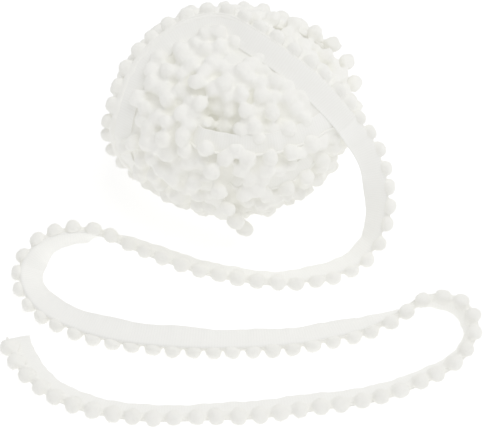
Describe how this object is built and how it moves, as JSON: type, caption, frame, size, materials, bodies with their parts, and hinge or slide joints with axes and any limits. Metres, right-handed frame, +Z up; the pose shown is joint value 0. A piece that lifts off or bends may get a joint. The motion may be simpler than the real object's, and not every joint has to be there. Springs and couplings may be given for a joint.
{
  "type": "pompom fringe trim",
  "caption": "White pompom fringe trim on a ribbed heading tape, wound into a ball, with its loose tail lying in an S in front.",
  "frame": {"origin": "centre of the flat spot that the ball rests on", "axes": "+X to the right, the longest extent; +Y to the back, away from the tail; +Z up from the surface, the shortest extent"},
  "size_m": [0.2676, 0.2562, 0.1205],
  "materials": {
    "wound_trim": "matte white tape and pompoms, wound in crossing turns",
    "heading_tape": "matte white tape with fine ribs across it",
    "pompom_yarn": "soft matte white tufted yarn"
  },
  "bodies": {
    "root": {"ball": "wound_trim", "tail_tape": "heading_tape", "tail_fringe_01": "pompom_yarn", "tail_fringe_02": "pompom_yarn", "tail_fringe_03": "pompom_yarn", "tail_fringe_04": "pompom_yarn", "tail_fringe_05": "pompom_yarn", "tail_fringe_06": "pompom_yarn", "tail_fringe_07": "pompom_yarn", "tail_fringe_08": "pompom_yarn", "tail_fringe_09": "pompom_yarn", "tail_fringe_10": "pompom_yarn", "tail_fringe_11": "pompom_yarn", "tail_fringe_12": "pompom_yarn", "tail_fringe_13": "pompom_yarn", "tail_fringe_14": "pompom_yarn", "tail_fringe_15": "pompom_yarn", "tail_fringe_16": "pompom_yarn"}
  },
  "joints": []
}
